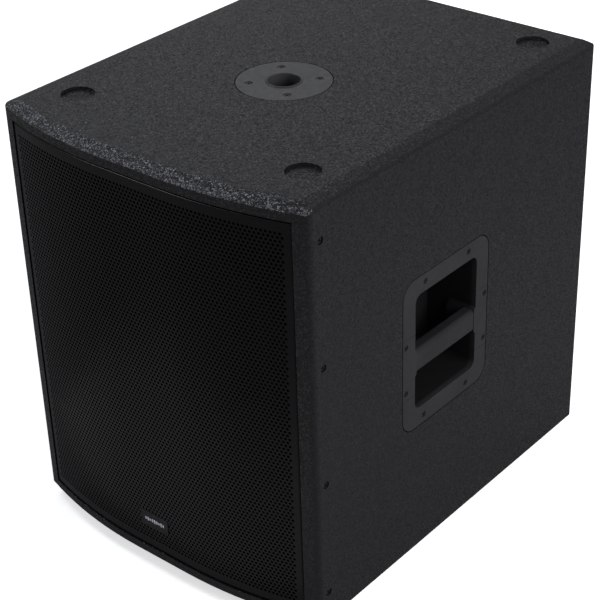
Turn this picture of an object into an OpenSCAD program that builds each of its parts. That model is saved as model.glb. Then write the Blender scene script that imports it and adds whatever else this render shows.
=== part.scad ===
// Bass-reflex subwoofer cabinet for one 15 inch driver.
// The front faces -Y, +Z is up, and +X is to the right of a person who looks at the front.
// The rubber feet stand on z = 0 and the cabinet is centred on x = 0, y = 0.

/* [Cabinet] */
// Outside width of the wooden box
body_w = 430; // [424:1:460]
// Outside height of the wooden box without its feet
body_h = 520; // [515:1:560]
// Depth from the foremost point of the bowed front to the back face
body_d = 541; // [525:1:580]
// Thickness of every plywood panel
ply = 18; // [16:1:19]
// Width of the shallow bevels along the sides of the top and the bottom
side_bevel_w = 18.4; // [14:0.2:20]
// Height of the side bevels
side_bevel_h = 4.2; // [3:0.2:7]
// Width of the bevels along the front of the top and the bottom
front_bevel_w = 13; // [8:0.5:16]
// Height of the front bevels
front_bevel_h = 8; // [5:0.5:10]
// Radius that softens the bevels where they leave the top and the bottom
soften_r = 14; // [6:1:18]
// Radius of the upright front corners
corner_r = 8; // [4:0.5:10]
// Radius of the edges round the back
back_edge_r = 5; // [2:1:8]
// Half width of the flat middle of the bowed front
bow_flat = 40; // [20:5:60]
// Radius of the two arcs on either side of the flat middle
bow_r = 559; // [540:1:700]

/* [Baffle and port] */
// Distance from the foremost point of the front to the baffle
baffle_back = 62.5; // [58:0.5:70]
// Height of the slot port under the top panel
port_h = 40; // [30:1:44]
// Depth of the port behind the baffle
port_d = 135; // [110:5:140]

/* [Grille] */
// Thickness of the grille sheet
grille_t = 1.5; // [1:0.1:2]
// Gap between the grille and the side panels
grille_gap = 1.2; // [0.8:0.1:2]
// Gap between the grille and the top and bottom panels
grille_gap_z = 2; // [1:0.5:3]
// Setback of the grille behind the front edges
grille_back = 1; // [0.5:0.5:3]
// Depth of the grille's side flanges
grille_flange = 30; // [26:1:34]
// Height spacing of the four screws on each side of the grille
grille_pitch = 145.5; // [140:0.5:148]

/* [Handles] */
// Gap round the handle frame and round the pole socket's plate
plate_gap = 1.2; // [0.6:0.1:1.5]
// Width of the handle frame along the side
handle_w = 158; // [150:1:165]
// Height of the handle frame
handle_h = 191; // [185:1:200]
// Depth of the handle cup
handle_d = 70; // [55:1:80]
// Height of the grip bar
bar_h = 28.4; // [24:0.2:30]
// Thickness of the grip bar
bar_t = 17; // [14:1:26]
// Radius of the heads of the handle screws
handle_head_r = 3.2; // [3:0.1:4]

/* [Pole socket and feet] */
// Radius of the pole socket bore
pole_r = 18; // [17:0.5:19]
// Depth of the pole socket bore
pole_deep = 110; // [90:5:120]
// Radius of the pole socket flange
pole_flange_r = 53.5; // [50:0.5:60]
// Radius of the four stacking recesses in the top
recess_r = 19; // [18:0.5:21]
// Depth of the stacking recesses
recess_deep = 3.5; // [2:0.5:9]
// Height of the rubber feet
foot_h = 10; // [8:1:12]
// Radius of the rubber feet
foot_r = 17.5; // [15:0.5:17.5]

/* [Driver] */
// Outside radius of the driver frame
frame_r = 194; // [190:1:194]
// Radius of the bolt circle of the driver
bolt_circle_r = 185; // [183:0.5:186]
// Radius of the voice coil former
former_r = 50; // [48:0.5:50]

/* [Hidden] */
$fn = 96;
e = 1;
apex_y = -body_d / 2;
back_y = body_d / 2;
bow_drop = bow_r - sqrt(bow_r * bow_r - pow(body_w / 2 - bow_flat, 2));
edge_y = apex_y + bow_drop;
z0 = foot_h;
z1 = foot_h + body_h;
in_x = body_w / 2 - ply;
in_z0 = z0 + ply;
in_z1 = z1 - ply;
mid_z = (z0 + z1) / 2;
baffle_y = apex_y + baffle_back;
port_z = in_z1 - port_h;
drv_z = (in_z0 + port_z - ply) / 2;
pole_y = edge_y + 217.5;
recess_x = 159;
recess_y = [edge_y + 58.5, back_y - 45];
handle_y = edge_y + 227;
handle_z = z0 + 269.6;
bar_z = -10;
hole_y = 57;
hole_z = [-71.5, 74];
bracket_z = [-50.7, 26.7];
handle_screws = [[-40, 86], [40, 86], [-73.5, 18], [73.5, 18],
    [-73.5, -41], [73.5, -41], [-40, -85.5], [40, -85.5]];
grille_x = in_x - grille_gap;
grille_z = [in_z0 + grille_gap_z, in_z1 - grille_gap_z];
grille_screw_y = edge_y + 14.8;
grille_screw_z = [for (i = [-1.5:1:1.5]) mid_z + 1.5 + i * grille_pitch];
dish_z = z0 + 150;
brace_y = 62;
arc_steps = 5;
board_y = 165;
board_z = in_z0 + 9.6;

// ---------- shared shapes ----------

module round_rect(w, h, r) {
    square([w - 2 * r, h], center = true);
    square([w, h - 2 * r], center = true);
    for (i = [-1, 1], j = [-1, 1])
        translate([i * (w / 2 - r), j * (h / 2 - r)]) circle(r = r);
}

// Ground plan behind the bowed front, moved back by the given inset
module bow_plan(inset) {
    intersection() {
        union() {
            for (s = [-1, 1])
                translate([s * bow_flat, apex_y + bow_r]) circle(r = bow_r - inset, $fn = 360);
            translate([-bow_flat, apex_y + inset]) square([2 * bow_flat, bow_r]);
        }
        translate([-body_w, apex_y - e]) square([2 * body_w, body_d + 2 * e]);
    }
}

function arc(centre, r, a, b) =
    [for (k = [0:arc_steps]) let (turn = a + k * (b - a) / arc_steps) centre + r * [cos(turn), sin(turn)]];

function turned_back(points, flip) = [for (k = [len(points) - 1:-1:0])
    [points[k][0] * flip[0], points[k][1] * flip[1]]];

// Outline at the given reach, from top to bottom: bevels softened inside and rounded at their outer crease
function bevelled_edge(reach, bevel_w, bevel_h, crease_r) =
    let (tilt = atan(bevel_w / bevel_h),
        crease = [reach, body_h / 2 - bevel_h] - crease_r * [1, tan(tilt / 2)],
        soft = [reach - bevel_w - soften_r * tan(45 - tilt / 2), body_h / 2 - soften_r],
        bevel = concat(arc(soft, soften_r, 90, tilt), arc(crease, crease_r, tilt, 0)))
    concat(bevel, turned_back(bevel, [1, -1]));

module bow_section() {
    polygon(concat([[0, body_h / 2]], bevelled_edge(bow_r, front_bevel_w, front_bevel_h, 1.2),
        [[0, -body_h / 2]]));
}

// What rounding an upright front corner takes away, in plan
module corner_waste() {
    reach = [body_w / 2 - corner_r - bow_flat, -sqrt(pow(bow_r - corner_r, 2)
        - pow(body_w / 2 - corner_r - bow_flat, 2))];
    centre = [bow_flat, apex_y + bow_r] + reach;
    out = 3 * corner_r * reach / norm(reach);
    difference() {
        polygon([centre, centre + out, centre + out + [3 * corner_r, 0], centre + [3 * corner_r, 0]]);
        translate(centre) circle(r = corner_r);
    }
}

// Outside of the wooden box
module envelope() {
    side_edge = bevelled_edge(body_w / 2, side_bevel_w, side_bevel_h, 4);
    difference() {
        intersection() {
            translate([0, 0, mid_z]) rotate([90, 0, 0])
                linear_extrude(height = body_d + 4 * e, center = true)
                    polygon(concat(side_edge, turned_back(side_edge, [-1, 1])));
            translate([0, -e, mid_z]) rotate([90, 0, 90])
                linear_extrude(height = body_w + 4 * e, center = true)
                    translate([-body_d / 2, 0]) round_rect(2 * body_d + 2 * e, body_h, back_edge_r);
            translate([0, -body_d / 2 - e, z0 - e])
                linear_extrude(height = body_h + 2 * e) round_rect(body_w, 2 * body_d + 2 * e, back_edge_r);
            translate([0, apex_y + bow_r, mid_z]) {
                for (s = [-1, 1]) translate([s * bow_flat, 0, 0]) rotate_extrude($fn = 360) bow_section();
                translate([bow_flat, 0, 0]) rotate([90, 0, -90])
                    linear_extrude(height = 2 * bow_flat) bow_section();
            }
        }
        for (s = [-1, 1]) on_side(s) linear_extrude(height = z1 + e) corner_waste();
    }
}

module slab(x0, x1, y0, y1, za, zb) {
    translate([x0, y0, za]) cube([x1 - x0, y1 - y0, zb - za]);
}

// Places a shape drawn for the right side on side s
module on_side(s) {
    mirror([s < 0 ? 1 : 0, 0, 0]) children();
}

// Shape in the plane of the side panel, reaching from depth a to depth b below its face
module in_side(a, b) {
    translate([body_w / 2 - b, handle_y, handle_z]) rotate([90, 0, 90])
        linear_extrude(height = b - a) children();
}

// Cylinder that runs from depth a to depth b below the side face
module side_pin(y, z, r, a, b) {
    translate([body_w / 2 - b, y, z]) rotate([0, 90, 0]) cylinder(r = r, h = b - a, $fn = 32);
}

// Driver axis: origin on the front of the baffle, +Z into the cabinet
module on_driver() {
    translate([0, baffle_y, drv_z]) rotate([-90, 0, 0]) children();
}

module bolt_ring() {
    for (i = [0:7]) rotate(22.5 + 45 * i) translate([bolt_circle_r, 0, 0]) children();
}

// Sum of two directions, scaled to length 1
function halfway(a, b) = (a / norm(a) + b / norm(b)) / norm(a / norm(a) + b / norm(b));

// Ring i of a wire: the first is square to the wire, each later one lies in the plane that halves its bend
function wire_ring(points, r, i) =
    i == 0 ? let (d = points[1] - points[0],
                  u = cross(d, abs(d[0]) < norm(d) / 2 ? [1, 0, 0] : [0, 0, 1]),
                  v = cross(d, u))
                 [for (a = [0:45:315]) points[0] + r * (cos(a) * u / norm(u) + sin(a) * v / norm(v))]
           : let (d = points[i] - points[i - 1],
                  n = halfway(d, i < len(points) - 1 ? points[i + 1] - points[i] : d))
                 [for (q = wire_ring(points, r, i - 1)) q + d * ((points[i] - q) * n) / (d * n)];

// Eight-sided wire through a list of points
module wire(points, r) {
    last = len(points) - 1;
    polyhedron(
        points = [for (i = [0:last]) each wire_ring(points, r, i)],
        faces = concat(
            [[for (k = [0:7]) k]],
            [for (i = [0:last - 1], k = [0:7])
                [8 * i + k, 8 * i + 8 + k, 8 * i + 8 + (k + 1) % 8, 8 * i + (k + 1) % 8]],
            [[for (k = [7:-1:0]) 8 * last + k]]));
}

// ---------- wooden box ----------

module pole_axes() {
    for (i = [0:3]) translate([0, pole_y, 0]) rotate(45 + 90 * i) translate([39, 0, 0]) children();
}

module foot_axes() {
    for (i = [-1, 1], y = recess_y) translate([i * recess_x, y, 0]) children();
}

module top_panel() color([0.16, 0.16, 0.165]) difference() {
    intersection() {
        envelope();
        slab(-body_w, body_w, -body_d, body_d, in_z1, z1 + e);
    }
    translate([0, pole_y, z1 - 3]) cylinder(r = pole_flange_r + plate_gap, h = 4);
    translate([0, pole_y, in_z1 - e]) cylinder(r = pole_r + 5, h = ply + 2 * e);
    pole_axes() translate([0, 0, z1 - 15]) cylinder(r = 2, h = 16, $fn = 24);
    foot_axes() translate([0, 0, z1 - recess_deep]) cylinder(r = recess_r, h = recess_deep + e);
}

module bottom_panel() color([0.16, 0.16, 0.165]) difference() {
    intersection() {
        envelope();
        slab(-body_w, body_w, -body_d, body_d, z0 - e, in_z0);
    }
    foot_axes() translate([0, 0, z0 - e]) cylinder(r = 2.6, h = 15 + e, $fn = 24);
}

module side_panel(s) color([0.15, 0.15, 0.155]) on_side(s) difference() {
    intersection() {
        envelope();
        slab(in_x, body_w, -body_d, body_d, in_z0, in_z1);
    }
    in_side(-e, 3) round_rect(handle_w + 2 * plate_gap, handle_h + 2 * plate_gap, 20 + plate_gap);
    in_side(-e, ply + e) translate([0, 1.25]) round_rect(2 * hole_y + 7.4, 152.9, 14);
    for (p = handle_screws) side_pin(handle_y + p[0], handle_z + p[1], 2, 0, 15);
    for (z = grille_screw_z) {
        side_pin(grille_screw_y, z, 4.4, -e, 4.2);
        side_pin(grille_screw_y, z, 2.8, 0, ply + e);
    }
}

module rear_panel() color([0.15, 0.15, 0.155]) difference() {
    slab(-in_x, in_x, back_y - ply, back_y, in_z0, in_z1);
    translate([0, back_y + e, dish_z]) rotate([90, 0, 0])
        linear_extrude(height = 3 + e) round_rect(141.2, 101.2, 8);
    translate([0, back_y + e, dish_z]) rotate([90, 0, 0]) linear_extrude(height = ply + 2 * e)
        round_rect(117, 77, 6);
    for (i = [-1, 1], j = [-1, 1])
        translate([i * 64, back_y - 15, dish_z + j * 44]) rotate([-90, 0, 0])
            cylinder(r = 2, h = 16, $fn = 24);
}

module front_baffle() color([0.12, 0.12, 0.125]) difference() {
    slab(-in_x, in_x, baffle_y, baffle_y + ply, in_z0, port_z);
    on_driver() translate([0, 0, -e]) cylinder(r = 177, h = ply + 2 * e, $fn = 180);
    on_driver() bolt_ring() translate([0, 0, -e]) cylinder(r = 4.7, h = ply + 2 * e, $fn = 32);
}

module port_shelf() color([0.13, 0.13, 0.135])
    slab(-in_x, in_x, baffle_y + ply, baffle_y + ply + port_d, port_z - ply, port_z);

module port_divider() color([0.13, 0.13, 0.135])
    slab(-ply / 2, ply / 2, baffle_y, baffle_y + ply + port_d, port_z, in_z1);

module brace() color([0.62, 0.5, 0.36])
    slab(-in_x, in_x, brace_y, brace_y + ply, mid_z - 35, mid_z + 35);

// ---------- pole socket and feet ----------

module pole_socket() color([0.28, 0.28, 0.285]) difference() {
    union() {
        translate([0, pole_y, z1 - 3]) cylinder(r = pole_flange_r, h = 3);
        translate([0, pole_y, z1 - pole_deep - 3]) cylinder(r = pole_r + 4, h = pole_deep + 3);
        translate([0, pole_y, z1]) rotate_extrude() translate([pole_r + 1.2, 0]) intersection() {
            circle(r = 1.2, $fn = 32);
            translate([-2, 0]) square([4, 2]);
        }
    }
    translate([0, pole_y, z1 - pole_deep]) cylinder(r = pole_r, h = pole_deep + 4);
    pole_axes() translate([0, 0, z1 - 4]) cylinder(r = 2.4, h = 5, $fn = 24);
    pole_axes() translate([0, 0, z1 - 2]) cylinder(r = 4.4, h = 3, $fn = 32);
}

module pole_socket_screws() color([0.06, 0.06, 0.065]) pole_axes() {
    translate([0, 0, z1 - 2]) cylinder(r = 4.1, h = 1.6, $fn = 32);
    translate([0, 0, z1 - 14.5]) cylinder(r = 1.9, h = 12.6, $fn = 24);
}

module foot(x, y) color([0.05, 0.05, 0.05]) translate([x, y, 0]) difference() {
    rotate_extrude() polygon([[0, 0], [foot_r - 1.5, 0], [foot_r - 0.5, 1], [foot_r, foot_h], [0, foot_h]]);
    translate([0, 0, -e]) cylinder(r = 6.5, h = 6 + e, $fn = 32);
    cylinder(r = 2.8, h = foot_h + e, $fn = 24);
}

module foot_screws() color([0.45, 0.45, 0.46]) foot_axes() {
    translate([0, 0, 3]) cylinder(r = 5.5, h = 3, $fn = 32);
    translate([0, 0, 5.5]) cylinder(r = 2.5, h = foot_h + 8.5, $fn = 24);
}

// ---------- handles ----------

// Room that a bracket takes on the side member at +y or -y
module bracket_room(j, grow) {
    in_side(-e, 3 + e) translate([j * (hole_y + handle_w / 4), (bracket_z[0] + bracket_z[1]) / 2])
        square([handle_w / 2, bracket_z[1] - bracket_z[0] + 2 * grow], center = true);
    in_side(-e, 36 + grow) translate([j * (hole_y + 1.5), (bracket_z[0] + bracket_z[1]) / 2])
        square([3 + 2 * e, bracket_z[1] - bracket_z[0] + 2 * grow], center = true);
}

module handle_cup(s) color([0.09, 0.09, 0.095]) on_side(s) difference() {
    union() {
        in_side(0, 3) round_rect(handle_w, handle_h, 20);
        in_side(0, handle_d) translate([0, 1.25]) round_rect(2 * hole_y + 6, 151.5, 13);
    }
    in_side(-e, handle_d - 3) translate([0, 1.25]) round_rect(2 * hole_y, 145.5, 10);
    for (j = [-1, 1]) bracket_room(j, 0.4);
    for (i = [0, 1, 6, 7]) {
        p = handle_screws[i];
        side_pin(handle_y + p[0], handle_z + p[1], handle_head_r + 0.3, -e, 2);
        side_pin(handle_y + p[0], handle_z + p[1], 2.3, 0, 4);
    }
}

module bracket(s, j) color([0.09, 0.09, 0.095]) on_side(s) difference() {
    union() {
        intersection() {
            in_side(0, 3) round_rect(handle_w, handle_h, 20);
            in_side(-e, 4) translate([j * (hole_y + 50), (bracket_z[0] + bracket_z[1]) / 2])
                square([100, bracket_z[1] - bracket_z[0]], center = true);
        }
        in_side(0, 36) translate([j * (hole_y + 1.5), (bracket_z[0] + bracket_z[1]) / 2])
            square([3, bracket_z[1] - bracket_z[0]], center = true);
        intersection() {
            in_side(0, 36) translate([j * (hole_y + 16), bar_z]) circle(r = 23.5);
            in_side(0, 36) translate([j * hole_y, bar_z]) square([16, 60], center = true);
            in_side(0, 36) translate([j * (hole_y - 10), bar_z]) square([21, bar_h + 8], center = true);
        }
    }
    for (z = [18, -41]) {
        side_pin(handle_y + j * 73.5, handle_z + z, handle_head_r + 0.3, -e, 2);
        side_pin(handle_y + j * 73.5, handle_z + z, 2.3, 0, 4);
    }
    in_side(-e, bar_t + 0.7) translate([0, bar_z]) square([2 * hole_y - 5.6, bar_h + 0.6], center = true);
}

module handle_bar(s) color([0.08, 0.08, 0.085]) on_side(s)
    translate([body_w / 2 - 0.4 - bar_t / 2, handle_y - hole_y + 3.1, handle_z + bar_z]) rotate([-90, 0, 0])
        linear_extrude(height = 2 * hole_y - 6.2) round_rect(bar_t, bar_h, 5);

module handle_screw_set(s) color([0.05, 0.05, 0.055]) on_side(s)
    for (p = handle_screws) {
        side_pin(handle_y + p[0], handle_z + p[1], handle_head_r, 0.4, 2);
        side_pin(handle_y + p[0], handle_z + p[1], 1.9, 1.8, 14.5);
    }

// ---------- grille and badge ----------

module grille() color([0.07, 0.07, 0.075]) difference() {
    union() {
        intersection() {
            translate([0, 0, grille_z[0]]) linear_extrude(height = grille_z[1] - grille_z[0]) difference() {
                bow_plan(grille_back);
                bow_plan(grille_back + grille_t);
            }
            slab(-grille_x, grille_x, apex_y - e, edge_y + grille_flange, 0, z1);
        }
        for (z = [grille_z[0], grille_z[1] - grille_t]) intersection() {
            translate([0, 0, z]) linear_extrude(height = grille_t) difference() {
                bow_plan(grille_back);
                bow_plan(grille_back + 12);
            }
            slab(-grille_x, grille_x, apex_y - e, edge_y + grille_flange, 0, z1);
        }
        for (s = [-1, 1]) intersection() {
            translate([0, 0, grille_z[0]]) linear_extrude(height = grille_z[1] - grille_z[0])
                bow_plan(grille_back);
            on_side(s) slab(grille_x - grille_t, grille_x, apex_y, edge_y + grille_flange, 0, z1);
        }
    }
    for (s = [-1, 1], z = grille_screw_z) on_side(s) side_pin(grille_screw_y, z, 4.1, ply, ply + 6);
}

module grille_nuts() color([0.6, 0.6, 0.6])
    for (s = [-1, 1], z = grille_screw_z) on_side(s) difference() {
        union() {
            side_pin(grille_screw_y, z, 4, ply + grille_gap, ply + 12);
            side_pin(grille_screw_y, z, 6, ply + grille_gap + grille_t, ply + grille_gap + grille_t + 1.2);
        }
        side_pin(grille_screw_y, z, 2.6, ply, ply + 13);
    }

module grille_screw_set(s) color([0.05, 0.05, 0.055]) on_side(s)
    for (z = grille_screw_z) {
        side_pin(grille_screw_y, z, 4.1, 1, 4.2);
        side_pin(grille_screw_y, z, 2.5, 4, ply + 10);
    }

module badge() color([0.1, 0.1, 0.105])
    translate([-6.3, apex_y + grille_back, z0 + 59.4]) rotate([90, 0, 0])
        linear_extrude(height = 0.9) round_rect(42, 19, 1.5);

// ---------- driver ----------

module driver_basket() color([0.1, 0.1, 0.105]) on_driver() difference() {
    rotate_extrude($fn = 180) polygon([[172.5, -5], [frame_r, -5], [frame_r, -0.8], [176, -0.8], [176, 8],
        [90, 90], [90, 98], [56, 98], [56, 95], [80, 95], [80, 91], [86.5, 88.5], [172.5, 6.5]]);
    for (i = [0:7]) rotate(12.5 + 45 * i) rotate_extrude(angle = 20) translate([95, 32]) square([60, 52]);
    translate([-9.5, 89, 76]) cube([19, 12, 13.5]);
    bolt_ring() translate([0, 0, -6]) cylinder(r = 3.3, h = 6, $fn = 32);
}

module driver_gasket() color([0.08, 0.08, 0.08]) on_driver() difference() {
    translate([0, 0, -0.8]) cylinder(r = frame_r - 1, h = 0.8, $fn = 180);
    translate([0, 0, -2]) cylinder(r = 178, h = 3, $fn = 180);
    bolt_ring() translate([0, 0, -2]) cylinder(r = 3.6, h = 3, $fn = 32);
}

module driver_screws() color([0.06, 0.06, 0.065]) on_driver() bolt_ring() {
    translate([0, 0, -9]) cylinder(r = 5, h = 4, $fn = 32);
    translate([0, 0, -5.5]) cylinder(r = 3, h = 27, $fn = 32);
}

module driver_tee_nuts() color([0.6, 0.6, 0.6]) on_driver() bolt_ring() difference() {
    union() {
        translate([0, 0, ply]) cylinder(r = 8.5, h = 1.5, $fn = 32);
        translate([0, 0, ply - 11]) cylinder(r = 4.6, h = 12, $fn = 32);
    }
    translate([0, 0, ply - 12]) cylinder(r = 3.1, h = 15, $fn = 32);
}

module top_plate() color([0.3, 0.3, 0.31]) on_driver() difference() {
    translate([0, 0, 98]) cylinder(r = 84, h = 8);
    translate([0, 0, 97]) cylinder(r = former_r + 3, h = 10);
}

module magnet() color([0.1, 0.1, 0.1]) on_driver() difference() {
    translate([0, 0, 106]) cylinder(r = 92, h = 22);
    translate([0, 0, 105]) cylinder(r = 62, h = 24);
}

module back_plate() color([0.3, 0.3, 0.31]) on_driver() difference() {
    union() {
        translate([0, 0, 128]) cylinder(r = 84, h = 9);
        translate([0, 0, 99]) cylinder(r = former_r - 1.4, h = 30);
    }
    translate([0, 0, 98]) cylinder(r = 14, h = 40);
}

module surround() color([0.05, 0.05, 0.05]) on_driver() rotate_extrude($fn = 180) {
    translate([154.4, 1.6]) square([2.6, 1.1]);
    translate([170.5, 1.6]) square([1.6, 1.1]);
    intersection() {
        difference() {
            translate([163.9, 2.7]) circle(r = 8);
            translate([163.9, 2.7]) circle(r = 6.9);
        }
        translate([150, -10]) square([30, 12.7]);
    }
}

module spider() color([0.75, 0.6, 0.3]) on_driver() rotate_extrude() for (i = [0:4]) intersection() {
    difference() {
        translate([54 + 6 * i, 87.5]) circle(r = 3.4, $fn = 48);
        translate([54 + 6 * i, 87.5]) circle(r = 2.6, $fn = 48);
    }
    translate([50.6 + 6 * i, i % 2 == 0 ? 83 : 87.1]) square([6.8, 4.9]);
}

module cone() color([0.09, 0.09, 0.09]) on_driver() rotate_extrude($fn = 180)
    polygon([[former_r, 64], [149, 4.6], [149, 3], [154, 3], [154, 4.4], [150, 5.4], [former_r, 65.8]]);

module dust_cap() color([0.07, 0.07, 0.07]) on_driver() rotate_extrude() intersection() {
    difference() {
        translate([0, 103]) circle(r = 75, $fn = 180);
        translate([0, 103]) circle(r = 73.6, $fn = 180);
    }
    translate([0, 20]) square([70, 37.8]);
}

module coil_former() color([0.7, 0.6, 0.35]) on_driver() difference() {
    translate([0, 0, 60]) cylinder(r = former_r, h = 58);
    translate([0, 0, 59]) cylinder(r = former_r - 0.6, h = 60);
}

module voice_coil() color([0.72, 0.4, 0.2]) on_driver() difference() {
    translate([0, 0, 95]) cylinder(r = former_r + 1.5, h = 23);
    translate([0, 0, 94]) cylinder(r = former_r, h = 25);
}

module driver_terminals() color([0.65, 0.15, 0.12]) on_driver() {
    translate([-12, 90.4, 90]) cube([24, 7, 8]);
    for (i = [-1, 1]) translate([i * 7 - 2, 97, 92.5]) cube([4, 9, 1]);
}

module tinsel_leads() color([0.75, 0.45, 0.3]) on_driver() for (i = [-1, 1])
    wire([[i * 7, 74, 56], [i * 7, 84, 70], [i * 7, 93, 77], [i * 7, 94, 89.6]], 1);

// ---------- terminals and crossover ----------

module on_back() {
    translate([0, back_y, dish_z]) rotate([90, 0, 0]) children();
}

module terminal_dish() color([0.1, 0.1, 0.105]) on_back() difference() {
    union() {
        linear_extrude(height = 3) round_rect(140, 100, 7.5);
        linear_extrude(height = 38) round_rect(116, 76, 6);
    }
    translate([0, 0, -e]) linear_extrude(height = 35 + e) round_rect(110, 70, 4);
    for (i = [-1, 1]) translate([i * 27, 0, 30]) cylinder(r = 12.4, h = 10);
    for (i = [-1, 1], j = [-1, 1]) translate([i * 64, j * 44, -e]) {
        cylinder(r = 4.4, h = 2 + e, $fn = 32);
        cylinder(r = 2.3, h = 5, $fn = 24);
    }
}

module socket(x) color([0.13, 0.2, 0.35]) on_back() translate([x, 0, 0]) difference() {
    union() {
        translate([0, 0, 32]) linear_extrude(height = 3) round_rect(31, 36, 3);
        translate([0, 0, 33]) cylinder(r = 12, h = 27);
    }
    translate([0, 0, 31]) cylinder(r = 10, h = 26);
}

module terminal_screws() color([0.05, 0.05, 0.055]) on_back()
    for (i = [-1, 1], j = [-1, 1]) translate([i * 64, j * 44, 0]) {
        translate([0, 0, 0.4]) cylinder(r = 4.1, h = 1.6, $fn = 32);
        translate([0, 0, 1.8]) cylinder(r = 1.9, h = 12.6, $fn = 24);
    }

module crossover_board() color([0.1, 0.3, 0.15]) difference() {
    union() {
        slab(-75, 75, board_y - 45, board_y + 45, board_z - 1.6, board_z);
        for (i = [-1, 1], j = [-1, 1])
            translate([i * 68, board_y + j * 38, in_z0]) cylinder(r = 4, h = 8.5, $fn = 32);
    }
    for (i = [-1, 1], j = [-1, 1])
        translate([i * 68, board_y + j * 38, in_z0 + 2]) cylinder(r = 1.6, h = 10, $fn = 24);
}

module crossover_coil() color([0.72, 0.4, 0.2]) translate([-40, board_y, board_z]) difference() {
    cylinder(r = 29, h = 32);
    translate([0, 0, -e]) cylinder(r = 13, h = 34);
}

module crossover_capacitor() color([0.15, 0.15, 0.4])
    translate([30, board_y - 28, board_z + 14]) rotate([-90, 0, 0]) cylinder(r = 14, h = 52);

module crossover_resistor() color([0.85, 0.83, 0.78])
    slab(54, 64, board_y - 26, board_y + 26, board_z, board_z + 9.4);

module internal_wires() color([0.5, 0.06, 0.05]) for (i = [-1, 1]) {
    wire([[i * 5 - 27, back_y - 60, dish_z - 5], [i * 5 - 27, back_y - 70, dish_z - 5],
        [i * 5 - 27, board_y + 36, board_z + 24], [i * 5 - 27, board_y + 36, board_z]], 1.6);
    wire([[i * 5 - 27, back_y - 60, dish_z + 5 + 4 * i], [i * 5 - 27, back_y - 72, dish_z + 5 + 4 * i],
        [27 - i * 5, back_y - 72, dish_z + 5 + 4 * i], [27 - i * 5, back_y - 60, dish_z + 5 + 4 * i]], 1.6);
    wire([[i * 5, board_y - 38, board_z], [i * 5, board_y - 38, board_z + 12], [i * 7, -40, board_z + 28],
        [i * 7, baffle_y + 96, drv_z - 125], [i * 7, baffle_y + 96, drv_z - 100]], 1.6);
}

module lining(s) color([0.45, 0.45, 0.42]) on_side(s)
    slab(in_x - 25.3, in_x - 0.3, brace_y + ply + 4, back_y - ply - 4, in_z0 + 12, in_z1 - 12);

module rear_lining() color([0.45, 0.45, 0.42])
    slab(-in_x + 30, in_x - 30, back_y - ply - 25.3, back_y - ply - 0.3, dish_z + 62, in_z1 - 12);

top_panel();
bottom_panel();
side_panel(-1);  // left_side_panel
side_panel(1);  // right_side_panel
rear_panel();
front_baffle();
port_shelf();
port_divider();
brace();
pole_socket();
pole_socket_screws();
foot(-recess_x, recess_y[0]);  // front_left_foot
foot(recess_x, recess_y[0]);  // front_right_foot
foot(-recess_x, recess_y[1]);  // rear_left_foot
foot(recess_x, recess_y[1]);  // rear_right_foot
foot_screws();
handle_cup(-1);  // left_handle_cup
handle_cup(1);  // right_handle_cup
handle_bar(-1);  // left_handle_bar
handle_bar(1);  // right_handle_bar
bracket(-1, -1);  // left_front_bracket
bracket(-1, 1);  // left_rear_bracket
bracket(1, -1);  // right_front_bracket
bracket(1, 1);  // right_rear_bracket
handle_screw_set(-1);  // left_handle_screws
handle_screw_set(1);  // right_handle_screws
grille();
grille_nuts();
grille_screw_set(-1);  // left_grille_screws
grille_screw_set(1);  // right_grille_screws
badge();
driver_basket();
driver_gasket();
driver_screws();
driver_tee_nuts();
top_plate();
magnet();
back_plate();
surround();
spider();
cone();
dust_cap();
coil_former();
voice_coil();
driver_terminals();
tinsel_leads();
terminal_dish();
socket(-27);  // input_socket
socket(27);  // link_socket
terminal_screws();
crossover_board();
crossover_coil();
crossover_capacitor();
crossover_resistor();
internal_wires();
lining(-1);  // left_lining
lining(1);  // right_lining
rear_lining();
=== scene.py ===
"""Looks of a bass-reflex subwoofer cabinet. Metres, +Z up, the grille faces -Y."""

import math

import bmesh
import bpy
from mathutils import Matrix, Vector, noise


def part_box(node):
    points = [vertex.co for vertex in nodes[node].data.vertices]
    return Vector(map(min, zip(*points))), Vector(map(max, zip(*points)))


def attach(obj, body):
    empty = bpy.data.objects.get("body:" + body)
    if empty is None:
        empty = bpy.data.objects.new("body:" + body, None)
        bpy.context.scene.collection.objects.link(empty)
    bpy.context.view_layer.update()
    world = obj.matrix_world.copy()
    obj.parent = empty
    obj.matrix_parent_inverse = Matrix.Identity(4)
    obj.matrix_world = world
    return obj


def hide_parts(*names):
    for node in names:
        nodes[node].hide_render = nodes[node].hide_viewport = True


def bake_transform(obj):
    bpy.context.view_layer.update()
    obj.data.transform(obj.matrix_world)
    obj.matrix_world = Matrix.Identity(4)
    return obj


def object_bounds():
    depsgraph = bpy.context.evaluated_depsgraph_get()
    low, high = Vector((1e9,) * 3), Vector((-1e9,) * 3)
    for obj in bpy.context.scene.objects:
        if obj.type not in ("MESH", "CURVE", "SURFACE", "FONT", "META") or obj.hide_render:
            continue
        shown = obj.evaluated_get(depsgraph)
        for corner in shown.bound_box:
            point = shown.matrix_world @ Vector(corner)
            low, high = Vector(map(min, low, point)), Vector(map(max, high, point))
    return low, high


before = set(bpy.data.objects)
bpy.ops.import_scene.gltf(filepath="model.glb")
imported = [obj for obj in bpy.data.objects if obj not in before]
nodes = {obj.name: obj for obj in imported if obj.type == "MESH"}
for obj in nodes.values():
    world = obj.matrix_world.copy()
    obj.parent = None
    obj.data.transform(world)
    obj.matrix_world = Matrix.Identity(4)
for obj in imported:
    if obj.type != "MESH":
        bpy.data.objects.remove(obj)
cad_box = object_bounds()
MM = 0.001

# ---------- camera, light and floor ----------

CAMERA_PLACE = Vector((1.1023, -1.2893, 1.2483))
CAMERA_AZIMUTH = math.radians(40.76)
CAMERA_ELEVATION = math.radians(30.76)
CAMERA_ROLL = math.radians(-1.90)
CAMERA_LENS = 99.14


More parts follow.
